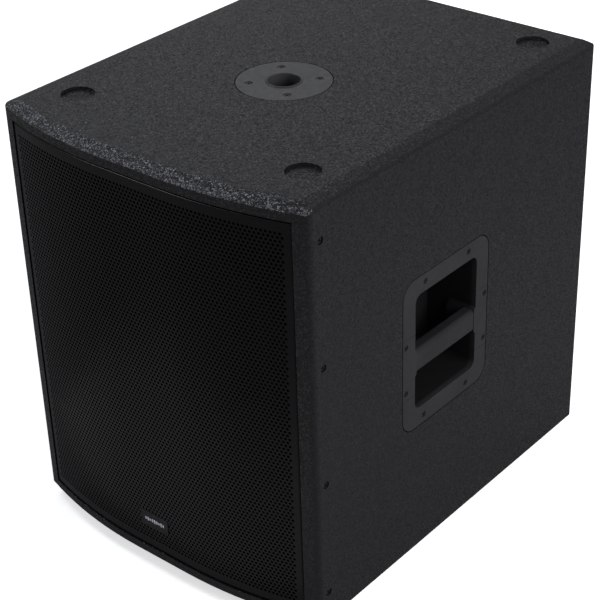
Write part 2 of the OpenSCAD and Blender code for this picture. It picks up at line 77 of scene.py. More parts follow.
def add_camera():
    back = Vector((
        math.sin(CAMERA_AZIMUTH) * math.cos(CAMERA_ELEVATION),
        -math.cos(CAMERA_AZIMUTH) * math.cos(CAMERA_ELEVATION),
        math.sin(CAMERA_ELEVATION),
    ))
    right = (-back).cross(Vector((0, 0, 1))).normalized()
    up = back.cross(right)
    turn = Matrix((right, up, back)).transposed() @ Matrix.Rotation(CAMERA_ROLL, 3, "Z")
    data = bpy.data.cameras.new("camera")
    data.lens = CAMERA_LENS
    data.sensor_width = 36
    data.clip_start = 0.05
    data.clip_end = 100
    camera = bpy.data.objects.new("camera", data)
    camera.matrix_world = Matrix.Translation(CAMERA_PLACE) @ turn.to_4x4()
    bpy.context.scene.collection.objects.link(camera)
    bpy.context.scene.camera = camera


def add_softbox(name, direction, distance, size, power, tone=(1, 1, 1), glossy=True, target=(0, 0, 0.27)):
    """Rectangular light at the given distance from the target, turned towards it."""
    data = bpy.data.lights.new(name, "AREA")
    data.color = tone
    data.shape = "RECTANGLE"
    data.size, data.size_y = size
    data.energy = power
    light = bpy.data.objects.new(name, data)
    away = Vector(direction).normalized()
    light.location = Vector(target) + away * distance
    light.rotation_mode = "QUATERNION"
    light.rotation_quaternion = (-away).to_track_quat("-Z", "Y")
    light.visible_camera = False
    light.visible_glossy = glossy
    bpy.context.scene.collection.objects.link(light)


def add_world(level, backdrop):
    """Soft light from all round, and a paler backdrop where the camera looks straight at it."""
    world = bpy.data.worlds.new("studio")
    world.use_nodes = True
    tree = world.node_tree
    background = tree.nodes["Background"]
    background.inputs["Color"].default_value = (1.0, 1.0, 1.0, 1.0)
    seen = tree.nodes.new("ShaderNodeLightPath").outputs["Is Camera Ray"]
    strength = tree.nodes.new("ShaderNodeMapRange")
    strength.inputs["To Min"].default_value = level
    strength.inputs["To Max"].default_value = backdrop
    tree.links.new(seen, strength.inputs["Value"])
    tree.links.new(strength.outputs[0], background.inputs["Strength"])
    bpy.context.scene.world = world


FLOOR_R = 9.0
FLOOR_T = 0.02
FLOOR_BOUNCE = (0.26, 0.26, 0.26)
FLOOR_GLOW = 0.55


def add_floor():
    """Round pale floor. The light it sends back to the part is weaker than what the camera sees of it."""
    look = Look("floor").set(Specular_IOR_Level=0.0, Emission_Color=(1, 1, 1, 1))
    look.rough(0.7, 0.8, 3.0)
    pale = look.mix(look.noise(2.0), (0.92, 0.92, 0.92), (0.95, 0.95, 0.95))
    seen = look.add("ShaderNodeLightPath").outputs["Is Camera Ray"]
    look.color(look.mix(seen, FLOOR_BOUNCE, pale))
    look.tree.links.new(look.span(seen, 0.0, FLOOR_GLOW), look.shader.inputs["Emission Strength"])
    verts, faces = revolve([(FLOOR_R, -FLOOR_T), (FLOOR_R, 0.0), (0, 0.0)], 96)
    mesh = bpy.data.meshes.new("floor")
    mesh.from_pydata([tuple(v) for v in verts], [], faces)
    mesh.materials.append(look.done())
    floor = bpy.data.objects.new("floor", mesh)
    bpy.context.scene.collection.objects.link(floor)


# ---------- materials ----------


class Look:
    """A node material around one Principled shader, in object coordinates."""

    def __init__(self, name):
        self.material = bpy.data.materials.new(name)
        self.material.use_nodes = True
        self.tree = self.material.node_tree
        self.shader = self.tree.nodes["Principled BSDF"]
        self.place = self.add("ShaderNodeTexCoord").outputs["Object"]
        self.normal = None

    def add(self, kind, links=(), **settings):
        node = self.tree.nodes.new(kind)
        for name, value in settings.items():
            setattr(node, name, value)
        for name, source in dict(links).items():
            self.feed(node.inputs[name], source)
        return node

    def feed(self, socket, source):
        """Link a socket to another one, or set it to a constant."""
        if isinstance(source, bpy.types.NodeSocket):
            self.tree.links.new(source, socket)
        else:
            socket.default_value = source

    def set(self, **values):
        for name, value in values.items():
            self.shader.inputs[name.replace("_", " ")].default_value = value
        return self

    def noise(self, scale, detail=2.0, rough=0.5, stretch=None):
        """Soft noise from about 0.3 to 0.7; the scale is in waves per metre."""
        place = self.place
        if stretch:
            place = self.add("ShaderNodeMapping", {"Vector": place, "Scale": stretch}).outputs[0]
        return self.add("ShaderNodeTexNoise", {
            "Vector": place, "Scale": scale, "Detail": detail, "Roughness": rough}).outputs["Fac"]

    def span(self, source, low, high, start=0.0, end=1.0):
        """The source's stretch from start to end, brought to low..high."""
        return self.add("ShaderNodeMapRange", {
            "Value": source, "From Min": start, "From Max": end, "To Min": low, "To Max": high}).outputs[0]

    def contrast(self, source, reach=0.2):
        """Noise stretched about its middle, to run from 0 to 1."""
        return self.span(source, 0, 1, 0.5 - reach, 0.5 + reach)

    def mix(self, factor, first, second):
        """Blend of two colours, each a socket or three constants."""
        node = self.add("ShaderNodeMix", data_type="RGBA")
        factor_socket, first_socket, second_socket = (node.inputs[i] for i in (0, 6, 7))
        self.feed(factor_socket, factor)
        for socket, value in ((first_socket, first), (second_socket, second)):
            self.feed(socket, value if isinstance(value, bpy.types.NodeSocket) else (*value, 1.0))
        return node.outputs[2]

    def math(self, operation, first, second=0.0):
        return self.combined("ShaderNodeMath", operation, first, second)

    def vector(self, operation, first, second=(0.0, 0.0, 0.0)):
        return self.combined("ShaderNodeVectorMath", operation, first, second)

    def combined(self, kind, operation, first, second):
        node = self.add(kind, operation=operation)
        self.feed(node.inputs[0], first)
        self.feed(node.inputs[1], second)
        return node.outputs[0]

    def color(self, source):
        self.tree.links.new(source, self.shader.inputs["Base Color"])
        return self

    def tint(self, dark, light, scale=18.0, detail=3.0):
        """Base colour that drifts a little between two tones."""
        return self.color(self.mix(self.contrast(self.noise(scale, detail)), dark, light))

    def rough(self, low, high, scale=260.0, detail=3.0):
        self.tree.links.new(self.span(self.noise(scale, detail), low, high, 0.3, 0.7),
                            self.shader.inputs["Roughness"])
        return self

    def round_edges(self, radius):
        self.normal = self.add("ShaderNodeBevel", {"Radius": radius}, samples=6).outputs[0]
        return self

    def bump(self, height, depth, strength=1.0):
        links = {"Height": height, "Distance": depth, "Strength": strength}
        if self.normal is not None:
            links["Normal"] = self.normal
        self.normal = self.add("ShaderNodeBump", links).outputs[0]
        return self

    def done(self):
        if self.normal is not None:
            self.tree.links.new(self.normal, self.shader.inputs["Normal"])
        return self.material


GRAINS_PER_METRE = 760.0
GRAIN_TILT = 0.64


def texture_paint(name, dark, light):
    """Sprayed texture paint: hard grains that each catch the light their own way, over a soft orange peel."""
    look = Look(name).set(Specular_IOR_Level=0.38)
    look.color(look.mix(look.contrast(look.noise(420.0)), dark, light)).rough(0.26, 0.38, 300.0)
    grains = look.add("ShaderNodeTexVoronoi", {"Vector": look.place, "Scale": GRAINS_PER_METRE})
    centred = look.vector("SUBTRACT", grains.outputs["Color"], (0.5, 0.5, 0.5))
    tilt = look.vector("MULTIPLY", centred, (GRAIN_TILT, GRAIN_TILT, GRAIN_TILT))
    facing = look.add("ShaderNodeNewGeometry").outputs["Normal"]
    look.normal = look.vector("NORMALIZE", look.vector("ADD", facing, tilt))
    return look.bump(look.noise(1200.0, 1.0, 0.5), 0.00015, 0.5).done()


def stained_ply(name, dark, light, grain_axis=(1.0, 9.0, 1.0)):
    look = Look(name).set(Specular_IOR_Level=0.2)
    grain = look.noise(26.0, 6.0, 0.62, grain_axis)
    look.color(look.mix(look.contrast(grain, 0.15), dark, light)).rough(0.6, 0.8, 90.0)
    return look.bump(grain, 0.0004, 0.4).done()


def moulded_plastic(name, dark, light, low=0.36, high=0.48, grain=900.0, depth=0.00012, edge=0.0006,
                    spec=0.45):
    """Moulded plastic with a fine spark-eroded grain."""
    look = Look(name).set(Specular_IOR_Level=spec)
    look.tint(dark, light, 24.0).rough(low, high, 160.0).round_edges(edge)
    return look.bump(look.noise(grain, 4.0, 0.7), depth, 0.6).done()


def handle_moulding_painted_shade(name, dark, light, inside_x, painted_shade_factor):
    """Moulded plastic with painted shade inside the cup: darker by the given factor nearer the middle than
    inside_x, where the hollow lies in shade.
    """
    look = Look(name).set(Specular_IOR_Level=0.42)
    face = look.mix(look.contrast(look.noise(24.0, 3.0)), dark, light)
    reach = look.math("ABSOLUTE", look.add("ShaderNodeSeparateXYZ", {"Vector": look.place}).outputs["X"])
    depth = look.span(reach, 1.0, 0.0, inside_x - 0.004, inside_x)
    # painted shade: a darker copy of the plastic's tones, for the inside of the cup
    inner = look.mix(look.noise(160.0), tuple(painted_shade_factor * v for v in dark), tuple(painted_shade_factor * v for v in light))
    look.color(look.mix(depth, face, inner)).rough(0.42, 0.54, 160.0).round_edges(0.0006)
    return look.bump(look.noise(900.0, 4.0, 0.7), 0.00012, 0.6).done()


def powder_coat(name, dark, light, low=0.3, high=0.42, spec=0.4):
    look = Look(name).set(Specular_IOR_Level=spec)
    look.tint(dark, light, 40.0).rough(low, high, 220.0)
    return look.bump(look.noise(1300.0, 2.0, 0.5), 0.0001, 0.5).done()


def bright_metal(name, dark, light, low=0.25, high=0.4, scale=150.0):
    look = Look(name).set(Metallic=1.0)
    look.tint(dark, light, scale).rough(low, high, scale * 2).round_edges(0.0003)
    return look.bump(look.noise(700.0, 3.0, 0.6), 0.00005, 0.5).done()


def matte_rubber(name, dark, light):
    look = Look(name).set(Specular_IOR_Level=0.3)
    look.tint(dark, light, 60.0).rough(0.62, 0.8, 300.0).round_edges(0.0005)
    return look.bump(look.noise(1100.0, 4.0, 0.7), 0.00012, 0.6).done()


def woven_cloth(name, dark, light, threads):
    """Coated cloth: two crossing sets of threads wave over and under each other."""
    look = Look(name).set(Specular_IOR_Level=0.25, Sheen_Weight=0.15)
    waves = [look.add("ShaderNodeTexWave", {"Vector": look.place, "Scale": threads, "Distortion": 0.6},
                      bands_direction=axis).outputs["Fac"] for axis in "XZ"]
    weave = look.math("MULTIPLY", *waves)
    look.color(look.mix(weave, dark, light)).rough(0.6, 0.78, 300.0)
    return look.bump(weave, 0.00015, 0.6).done()


def pressed_paper(name, dark, light):
    look = Look(name).set(Specular_IOR_Level=0.2)
    fibre = look.noise(420.0, 6.0, 0.75, (1.0, 0.4, 1.0))
    look.color(look.mix(look.contrast(fibre, 0.15), dark, light)).rough(0.7, 0.85, 200.0)
    return look.bump(fibre, 0.00025, 0.6).done()


def wadding(name):
    """Loose polyester wadding: tangled pale fibres."""
    look = Look(name).set(Specular_IOR_Level=0.1, Roughness=0.9, Sheen_Weight=0.4)
    fibre = look.noise(700.0, 8.0, 0.8)
    clump = look.noise(45.0, 3.0, 0.6)
    tone = look.math("MULTIPLY", look.span(fibre, 0.4, 1.2, 0.3, 0.7), look.span(clump, 0.8, 1.1, 0.3, 0.7))
    look.color(look.mix(tone, (0.2, 0.2, 0.19), (0.52, 0.52, 0.49)))
    return look.bump(fibre, 0.0012, 0.8).done()


def grey(level):
    return (level, level, level * 1.06)


PAINT = texture_paint("texture_paint", (0.0072, 0.0072, 0.0083), (0.0106, 0.0106, 0.0122))
STAIN = stained_ply("black_stain", grey(0.006), grey(0.011))
PLY = stained_ply("bare_ply", (0.42, 0.30, 0.18), (0.62, 0.48, 0.32))
SOCKET = moulded_plastic("socket_plate", grey(0.032), grey(0.038), 0.34, 0.44, 500.0, 0.00006, spec=0.28)
SCREW = moulded_plastic("screw_black", grey(0.006), grey(0.009), 0.3, 0.4, 800.0, 0.00004, 0.0002, 0.5)
RUBBER = matte_rubber("foot_rubber", grey(0.012), grey(0.02))
ZINC = bright_metal("zinc_steel", (0.5, 0.5, 0.48), (0.66, 0.66, 0.64))
# handle plastic with painted shade inside the cup, 0.4 times as bright there
HANDLE = handle_moulding_painted_shade("handle_plastic", grey(0.018), grey(0.023), 0.211, 0.4)
GRIP = moulded_plastic("grip", grey(0.014), grey(0.018), 0.40, 0.50)
GRILLE = powder_coat("grille_metal", grey(0.0020), grey(0.0034), 0.24, 0.34, 0.26)
BADGE = bright_metal("badge_face", grey(0.03), grey(0.045), 0.35, 0.45)
MARK = moulded_plastic("badge_motif", grey(0.62), grey(0.7), 0.35, 0.45)
BASKET = powder_coat("basket_paint", grey(0.014), grey(0.02))
FOAM = matte_rubber("gasket_foam", grey(0.012), grey(0.02))
FERRITE = matte_rubber("ferrite", grey(0.035), grey(0.055))
ROLL = woven_cloth("roll_cloth", grey(0.01), grey(0.022), 300.0)
SPIDER = woven_cloth("spider_cloth", (0.42, 0.28, 0.10), (0.66, 0.48, 0.2), 300.0)
PAPER = pressed_paper("cone_paper", grey(0.012), grey(0.025))
FORMER = moulded_plastic("former_film", (0.40, 0.26, 0.08), (0.52, 0.36, 0.12), 0.25, 0.35)
COPPER = bright_metal("copper", (0.55, 0.22, 0.08), (0.74, 0.36, 0.16), 0.2, 0.35, 400.0)
RED = moulded_plastic("terminal_red", (0.30, 0.02, 0.015), (0.42, 0.04, 0.03))
DISH = moulded_plastic("dish_plastic", grey(0.017), grey(0.022))
BLUE = moulded_plastic("socket_blue", (0.012, 0.035, 0.14), (0.018, 0.05, 0.2))
BOARD = moulded_plastic("board_green", (0.01, 0.08, 0.03), (0.02, 0.12, 0.05), 0.3, 0.4, 300.0)
CAPACITOR = moulded_plastic("capacitor_blue", (0.015, 0.015, 0.09), (0.03, 0.03, 0.14), 0.2, 0.3, 200.0)
CERAMIC = matte_rubber("ceramic_white", (0.6, 0.58, 0.52), (0.72, 0.70, 0.64))
WIRE = moulded_plastic("wire_red", (0.26, 0.01, 0.01), (0.36, 0.02, 0.02), 0.4, 0.5)
WADDING = wadding("lining_felt")

SLOT_LOOKS = {
    "textured_paint": PAINT, "black_stain": STAIN, "bare_ply": PLY, "socket_plate": SOCKET,
    "screw_black": SCREW, "foot_rubber": RUBBER, "zinc_steel": ZINC, "handle_plastic": HANDLE, "grip": GRIP,
    "grille_metal": GRILLE, "badge_face": BADGE, "basket_paint": BASKET, "gasket_foam": FOAM,
    "ferrite": FERRITE, "roll_cloth": ROLL, "spider_cloth": SPIDER, "cone_paper": PAPER,
    "former_film": FORMER, "copper": COPPER, "terminal_red": RED, "dish_plastic": DISH,
    "socket_blue": BLUE, "board_green": BOARD, "capacitor_blue": CAPACITOR, "ceramic_white": CERAMIC,
    "wire_red": WIRE, "lining_felt": WADDING,
}

for cad in nodes.values():
    for holder in cad.material_slots:
        name = holder.material.name.split(".")[0]
        holder.material = SLOT_LOOKS[name]

# ---------- mesh helpers ----------


def make_piece(name, verts, faces, look, replaced=(), body="cabinet", smooth_angle=35.0):
    mesh = bpy.data.meshes.new(name)
    mesh.from_pydata([tuple(v) for v in verts], [], faces)
    return finish_piece(name, mesh, look, replaced, body, smooth_angle)


def finish_piece(name, mesh, look, replaced=(), body="cabinet", smooth_angle=35.0):
    form = bmesh.new()
    form.from_mesh(mesh)
    bmesh.ops.remove_doubles(form, verts=form.verts, dist=1e-6)
    bmesh.ops.recalc_face_normals(form, faces=form.faces)
    form.to_mesh(mesh)
    form.free()
    mesh.shade_smooth()
    mesh.set_sharp_from_angle(angle=math.radians(smooth_angle))
    mesh.materials.append(look)
    made = bpy.data.objects.new(name, mesh)
    bpy.context.scene.collection.objects.link(made)
    if body:
        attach(made, body)
    if replaced:
        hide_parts(*replaced)
    return made


def ring_faces(first, second):
    """Faces between two closed rings of vertex numbers, of the same length."""
    count = len(first)
    return [(first[i], first[(i + 1) % count], second[(i + 1) % count], second[i]) for i in range(count)]


def revolve(profile, steps, close=False):
    """Vertices and faces of a profile of (radius, height) points turned round +Z. A radius of 0 is a tip."""
    verts, faces, rings = [], [], []
    for radius, height in profile:
        if radius == 0:
            rings.append([len(verts)])
            verts.append(Vector((0, 0, height)))
            continue
        rings.append(list(range(len(verts), len(verts) + steps)))
        for i in range(steps):
            angle = 2 * math.pi * i / steps
            verts.append(Vector((radius * math.cos(angle), radius * math.sin(angle), height)))
    pairs = list(zip(rings, rings[1:]))
    if close:
        pairs.append((rings[-1], rings[0]))
    for a, b in pairs:
        if len(a) == 1 and len(b) == 1:
            continue
        if len(a) == 1 or len(b) == 1:
            tip, ring = (a[0], b) if len(a) == 1 else (b[0], a)
            faces += [(tip, ring[i], ring[(i + 1) % steps]) for i in range(steps)]
        else:
            faces += ring_faces(a, b)
    return verts, faces


def placed(verts, matrix):
    return [matrix @ v for v in verts]


def joined(parts):
    """One vertex list and one face list out of several."""
    verts, faces = [], []
    for part_verts, part_faces in parts:
        start = len(verts)
        verts += part_verts
        faces += [tuple(start + i for i in face) for face in part_faces]
    return verts, faces


def axis_frame(origin, direction):
    """Matrix that carries the local +Z axis to the given direction at the given origin."""
    turn = Vector(direction).to_track_quat("Z", "Y").to_matrix().to_4x4()
    return Matrix.Translation(Vector(origin)) @ turn


# ---------- perforated grille ----------

BOW_FLAT = 40 * MM
BOW_R = 559 * MM
GRILLE_T = 1.5 * MM
HOLE_PITCH = 5.05 * MM
ROW_PITCH = 4.37 * MM
HOLE_R = 1.68 * MM
HOLE_SIDES = 10
BEND_R = 1.7 * MM
SIDE_BORDER = 4.0 * MM
BOTTOM_BORDER = 10.5 * MM
RETURN_DEPTH = 12 * MM
BEND_STEPS = 4
FLANGE_CELL = 6 * MM
FLANGE_HOLE_R = 4.1 * MM
FLANGE_HOLE_SIDES = 24

grille_low, grille_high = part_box("grille")
bow_inset = grille_low.y - cad_box[0].y
sheet_r = BOW_R - bow_inset


def on_sheet(s, z, depth):
    """Point on the bowed sheet, s along its width from the middle and depth behind its face."""
    side = -1 if s < 0 else 1
    turn = max(0.0, abs(s) - BOW_FLAT) / sheet_r
    r = sheet_r - depth
    x = side * (min(abs(s), BOW_FLAT) + r * math.sin(turn))
    return Vector((x, grille_low.y + sheet_r - r * math.cos(turn), z))


def hole_ring(middle, verts, depth):
    """Ring of vertices of a round hole at one face of the sheet."""
    s, z = middle
    ring = []
    for i in range(HOLE_SIDES):
        angle = math.pi / 2 + 2 * math.pi * i / HOLE_SIDES
        ring.append(len(verts))
        verts.append(on_sheet(s + HOLE_R * math.cos(angle), z + HOLE_R * math.sin(angle), depth))
    return ring


def cell_faces(ring, corners):
    """Faces between a hole's ring and its cell's six corners, both from the top middle the same way round."""
    faces, at = [], 0
    for i, vertex in enumerate(ring):
        after = ring[(i + 1) % HOLE_SIDES]
        want = round((i + 0.5) * len(corners) / HOLE_SIDES)
        while at < want:
            faces.append((vertex, corners[at % 6], corners[(at + 1) % 6]))
            at += 1
        faces.append((vertex, corners[at % 6], after))
    while at < len(corners):
        faces.append((ring[0], corners[at % 6], corners[(at + 1) % 6]))
        at += 1
    return faces


def rim_faces(front, back):
    """Faces that close the gap between two grids of vertex numbers along their four borders."""
    rows, columns = len(front), len(front[0])
    faces = []
    for j in (0, rows - 1):
        faces += [(front[j][i], front[j][i + 1], back[j][i + 1], back[j][i]) for i in range(columns - 1)]
    for i in (0, columns - 1):
        faces += [(front[j][i], front[j + 1][i], back[j + 1][i], back[j][i]) for j in range(rows - 1)]
    return faces


def sheet_strip(name, rows, z_lines, columns, s_lines):
    """A closed strip of perforated sheet. rows has the hole row, or None, of each stretch between z lines."""
    verts, faces = [], []
    grids = []
    for depth in (0.0, GRILLE_T):
        grid = []
        for z in z_lines:
            grid.append(list(range(len(verts), len(verts) + len(s_lines))))
            verts += [on_sheet(s, z, depth) for s in s_lines]
        grids.append(grid)
    last = len(s_lines) - 1
    for j, row in enumerate(rows):
        holes = {}
        if row is not None:
            first = 1 + row % 2
            holes = {first + 2 * k: k for k in range(columns)}
        i = 0
        while i < last:
            step = 2 if i in holes else 1
            rings = []
            for layer, grid in enumerate(grids):
                low, high = grid[j], grid[j + 1]
                if step == 1:
                    faces.append((low[i], low[i + 1], high[i + 1], high[i]))
                    continue
                corners = [high[i + 1], high[i], low[i], low[i + 1], low[i + 2], high[i + 2]]
                middle = (s_lines[i + 1], (z_lines[j] + z_lines[j + 1]) / 2)
                ring = hole_ring(middle, verts, layer * GRILLE_T)
                rings.append(ring)
                faces += cell_faces(ring, corners)
            if rings:
                faces += ring_faces(*rings)
            i += step
    faces += rim_faces(*grids)
    return make_piece(name, verts, faces, GRILLE, smooth_angle=40)


def add_grille():
    z0, z1 = grille_low.z, grille_high.z
    bow_turn = math.asin((grille_high.x - BEND_R - BOW_FLAT) / sheet_r)
    half = BOW_FLAT + bow_turn * sheet_r
    columns = int((2 * half - 2 * SIDE_BORDER - HOLE_PITCH / 2) / HOLE_PITCH)
    row_count = int((z1 - z0 - 2 * BOTTOM_BORDER) / ROW_PITCH + 0.3)
    width = columns * HOLE_PITCH + HOLE_PITCH / 2
    s_lines = [-half] + [-width / 2 + k * HOLE_PITCH / 2 for k in range(2 * columns + 2)] + [half]
    base = z0 + BOTTOM_BORDER
    lines = [z0 + BEND_R] + [base + k * ROW_PITCH for k in range(row_count + 1)] + [z1 - BEND_R]
    rows = [None] + list(range(row_count)) + [None]
    cuts = [0, len(rows) // 3, 2 * len(rows) // 3, len(rows)]
    strips = [sheet_strip(f"grille_sheet_{k + 1}", rows[a:b], lines[a:b + 1], columns, s_lines)
              for k, (a, b) in enumerate(zip(cuts, cuts[1:]))]
    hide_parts("grille")
    add_grille_edge(half, s_lines)


def border_return(top, s_lines):
    """Rolled edge and inward return along the top or the bottom of the sheet."""
    edge = grille_high.z if top else grille_low.z
    inward = -1 if top else 1
    inner = BEND_R - GRILLE_T
    outline = [(0.0, BEND_R)]
    outline += [(BEND_R * (1 - math.cos(a)), BEND_R * (1 - math.sin(a)))
                for a in (math.pi / 8, math.pi / 4, 3 * math.pi / 8, math.pi / 2)]
    outline += [(RETURN_DEPTH, 0.0), (RETURN_DEPTH, GRILLE_T)]
    outline += [(GRILLE_T + inner * (1 - math.cos(a)), GRILLE_T + inner * (1 - math.sin(a)))
                for a in (math.pi / 2, math.pi / 4, 0.0)]
    verts = [on_sheet(s, edge + inward * rise, depth) for s in s_lines for depth, rise in outline]
    count = len(outline)
    faces = []
    for i in range(len(s_lines) - 1):
        first = list(range(i * count, (i + 1) * count))
        faces += ring_faces(first, [v + count for v in first])
    faces.append(tuple(range(count)))
    faces.append(tuple(range(len(verts) - count, len(verts))))
    return verts, faces


def flange_rails(turn, screw_y):
    """Plan points of the outside and the inside, round the bend from the bowed face and along the flange."""
    outer_x = grille_high.x
    tangent = on_sheet(BOW_FLAT + turn * sheet_r, 0, 0)
    heading = Vector((math.cos(turn), math.sin(turn)))
    normal = Vector((-math.sin(turn), math.cos(turn)))
    centre = Vector((tangent.x, tangent.y)) + normal * BEND_R
    shift = outer_x - (centre.x + BEND_R)
    rails = []
    for k in range(BEND_STEPS + 1):
        angle = (math.pi / 2 - turn) * k / BEND_STEPS
        direction = -normal * math.cos(angle) + heading * math.sin(angle)
        outer = centre + direction * BEND_R
        inner = centre + direction * (BEND_R - GRILLE_T)
        grow = shift * k / BEND_STEPS
        rails.append(((outer.x + grow, outer.y), (inner.x + grow, inner.y)))
    for y in (screw_y - FLANGE_CELL, screw_y + FLANGE_CELL, grille_high.y):
        rails.append(((outer_x, y), (outer_x - GRILLE_T, y)))
    return rails


def flange_hole(verts, square, centre):
    """Ring of a round hole in one face of the flange, and the faces from it to the four corners round it."""
    ring = list(range(len(verts), len(verts) + FLANGE_HOLE_SIDES))
    for k in range(FLANGE_HOLE_SIDES):
        angle = 2 * math.pi * (k + 0.5) / FLANGE_HOLE_SIDES - 3 * math.pi / 4
        verts.append(centre + FLANGE_HOLE_R * Vector((0, math.cos(angle), math.sin(angle))))
    quarter = FLANGE_HOLE_SIDES // 4
    faces = []
    for q in range(4):
        corner, after = square[q], square[(q + 1) % 4]
        part = [ring[(quarter * q + m) % FLANGE_HOLE_SIDES] for m in range(quarter + 1)]
        faces += [(corner if m < quarter // 2 else after, part[m], part[m + 1]) for m in range(quarter)]
        faces.append((corner, part[quarter // 2], after))
    return ring, faces


def side_flange(side, turn, screw_y, screw_z):
    """Bend from the bowed face into the flange, and the flange with its holes."""
    rails = flange_rails(turn, screw_y)
    z_lines = [grille_low.z] + [z + d for z in screw_z for d in (-FLANGE_CELL, FLANGE_CELL)] + [grille_high.z]
    verts, faces, grids = [], [], []
    for layer in (0, 1):
        grid = []
        for z in z_lines:
            grid.append(list(range(len(verts), len(verts) + len(rails))))
            verts += [Vector((side * rail[layer][0], rail[layer][1], z)) for rail in rails]
        grids.append(grid)
    hole_rail = len(rails) - 3
    for j in range(len(z_lines) - 1):
        for i in range(len(rails) - 1):
            squares = [(grid[j][i], grid[j][i + 1], grid[j + 1][i + 1], grid[j + 1][i]) for grid in grids]
            if i != hole_rail or j % 2 == 0:
                faces += squares
                continue
            rings = []
            for layer, square in enumerate(squares):
                x = side * (grille_high.x - layer * GRILLE_T)
                centre = Vector((x, screw_y, (z_lines[j] + z_lines[j + 1]) / 2))
                ring, fans = flange_hole(verts, square, centre)
                rings.append(ring)
                faces += fans
            faces += ring_faces(*rings)
    return verts, faces + rim_faces(*grids)


def add_grille_edge(half, s_lines):
    """Rolled edges, the inward returns at top and bottom and the side flanges with their screw holes."""
    parts = [border_return(top, s_lines) for top in (False, True)]
    screws = [(low + high) / 2 for low, high in islands("right_grille_screws")]
    screw_z = sorted(middle.z for middle in screws)
    turn = (half - BOW_FLAT) / sheet_r
    parts += [side_flange(side, turn, screws[0].y, screw_z) for side in (-1, 1)]
    verts, faces = joined(parts)
    make_piece("grille_edge", verts, faces, GRILLE, smooth_angle=40)


# ---------- screws ----------

SCREW_STEPS = 32
PAN_HEAD_R = 4.1 * MM
PAN_HEAD_H = 1.5 * MM
PAN_SEAT = 1.6 * MM
PAN_SHANK_R = 1.9 * MM
PAN_LENGTH = 12.5 * MM


def cross_corners(head_r):
    """The twelve corners of a cross recess, a quarter at a time."""
    reach, arm = head_r * 0.62, head_r * 0.16
    corners = []
    for quarter in range(4):
        turn = Matrix.Rotation(quarter * math.pi / 2, 2)
        corners += [turn @ Vector(corner) for corner in ((arm, arm), (arm, reach), (-arm, reach))]
    return corners


def between_rings(outer, inner, inner_angles):
    """Faces between an evenly spaced outer ring and an inner one whose corners lie at the given angles."""
    order = sorted(range(len(inner)), key=lambda i: inner_angles[i])
    ring, angles = [inner[i] for i in order], [inner_angles[i] for i in order]
    faces, at = [], 0
    for i, vertex in enumerate(outer):
        while at < len(ring) and angles[at] <= 2 * math.pi * i / len(outer):
            faces.append((vertex, ring[at], ring[at - 1]))
            at += 1
        faces.append((vertex, outer[(i + 1) % len(outer)], ring[at - 1]))
    while at < len(ring):
        faces.append((outer[0], ring[at], ring[at - 1]))
        at += 1
    return faces


def screw_head(head_r, head_h, dome=0.35):
    """Pan head with a cross recess, top up +Z, seat at z = 0."""
    profile = [(head_r * 0.985, 0.0), (head_r, head_h * (1 - dome) * 0.5)]
    for k in range(1, 5):
        a = math.pi / 2 * k / 5
        profile.append((head_r * (0.66 + 0.34 * math.cos(a)), head_h * (1 - dome + dome * math.sin(a))))
    verts, faces = revolve(profile, SCREW_STEPS)
    top = list(range(len(verts) - SCREW_STEPS, len(verts)))
    cross = cross_corners(head_r)
    rim = [len(verts) + i for i in range(12)]
    verts += [Vector((p.x, p.y, head_h)) for p in cross]
    floor = [len(verts) + i for i in range(12)]
    verts += [Vector((p.x * 0.75, p.y * 0.75, head_h * 0.25)) for p in cross]
    faces += ring_faces(rim, floor)
    faces.append(tuple(floor[::-1]))
    faces += between_rings(top, rim, [math.atan2(p.y, p.x) % (2 * math.pi) for p in cross])
    return verts, faces


def screw_shank(head_r, shank_r, length):
    """Ridged shank below the head's seat, with a pointed end."""
    ridge, depth = 1.4 * MM, shank_r * 0.16
    profile = [(head_r * 0.985, 0.0), (shank_r, 0.0)]
    z = -1.0 * MM
    while z > -length + 2.5 * MM:
        profile += [(shank_r, z), (shank_r - depth, z - ridge / 2)]
        z -= ridge
    profile += [(shank_r, z), (0, -length)]
    return revolve(profile, SCREW_STEPS)


def screw_set(name, node, places, direction, head_r, head_h, shank_r, length):
    parts = []
    for k, place in enumerate(places):
        verts, faces = joined([screw_head(head_r, head_h), screw_shank(head_r, shank_r, length)])
        spin = Matrix.Rotation(math.radians(37 + 71 * k), 4, "Z")
        parts.append((placed(verts, axis_frame(place, direction) @ spin), faces))
    verts, faces = joined(parts)
    return make_piece(name, verts, faces, SCREW, [node], smooth_angle=38)


def islands(node):
    """Lowest and highest corner of each separate solid of a CAD node, in a fixed order."""
    form = bmesh.new()
    form.from_mesh(nodes[node].data)
    bmesh.ops.remove_doubles(form, verts=form.verts, dist=1e-6)
    left, found = set(form.verts), []
    while left:
        stack, group = [left.pop()], []
        while stack:
            vertex = stack.pop()
            group.append(vertex.co.copy())
            for edge in vertex.link_edges:
                other = edge.other_vert(vertex)
                if other in left:
                    left.remove(other)
                    stack.append(other)
        found.append((Vector(map(min, *group)), Vector(map(max, *group))))
    form.free()
    return sorted(found, key=lambda box: [round(v, 5) for v in box[0]])


